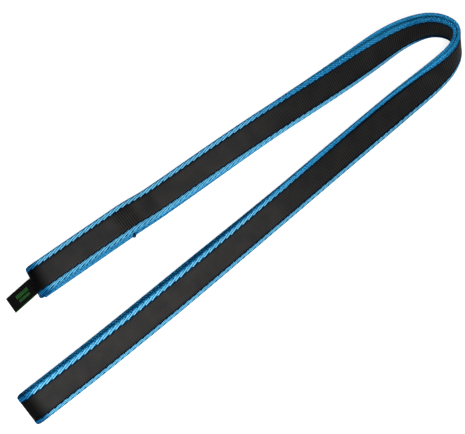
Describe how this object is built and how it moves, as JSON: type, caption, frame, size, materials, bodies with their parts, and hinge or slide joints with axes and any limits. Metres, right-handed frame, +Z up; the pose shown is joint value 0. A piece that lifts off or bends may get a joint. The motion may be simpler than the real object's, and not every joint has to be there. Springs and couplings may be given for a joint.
{
  "type": "climbing sling",
  "caption": "Sewn webbing runner with coloured selvedges and a small woven label, laid flattened and bent into a hairpin.",
  "frame": {"origin": "under the middle of the part's box, on the surface that the sling lies on", "axes": "+X towards the hairpin's bend, +Y towards the limb with the splice and the label, +Z up"},
  "size_m": [0.3196, 0.0708, 0.0179],
  "materials": {
    "black_webbing": "tightly ribbed nylon weave, matt",
    "blue_selvedge": "twill selvedge, slight sheen",
    "tack_thread": "dense zigzag stitching, slight sheen",
    "label_tape": "fine woven tape with plain green bars"
  },
  "bodies": {
    "sling": {"webbing_core": "black_webbing", "edge_band_raised": "blue_selvedge", "edge_band_floor": "blue_selvedge", "bar_tack_1": "tack_thread", "bar_tack_2": "tack_thread", "bar_tack_3": "tack_thread", "bar_tack_4": "tack_thread", "bar_tack_5": "tack_thread", "label_root": "label_tape"},
    "label": {"label_flap": "label_tape"}
  },
  "joints": [
    {"name": "label_lift", "type": "hinge", "parent": "sling", "child": "label", "pos_m": [-0.1204, 0.02635, 0.00317], "axis": [0.0468, 0.993, 0.108], "range_deg": [0, 90]}
  ]
}
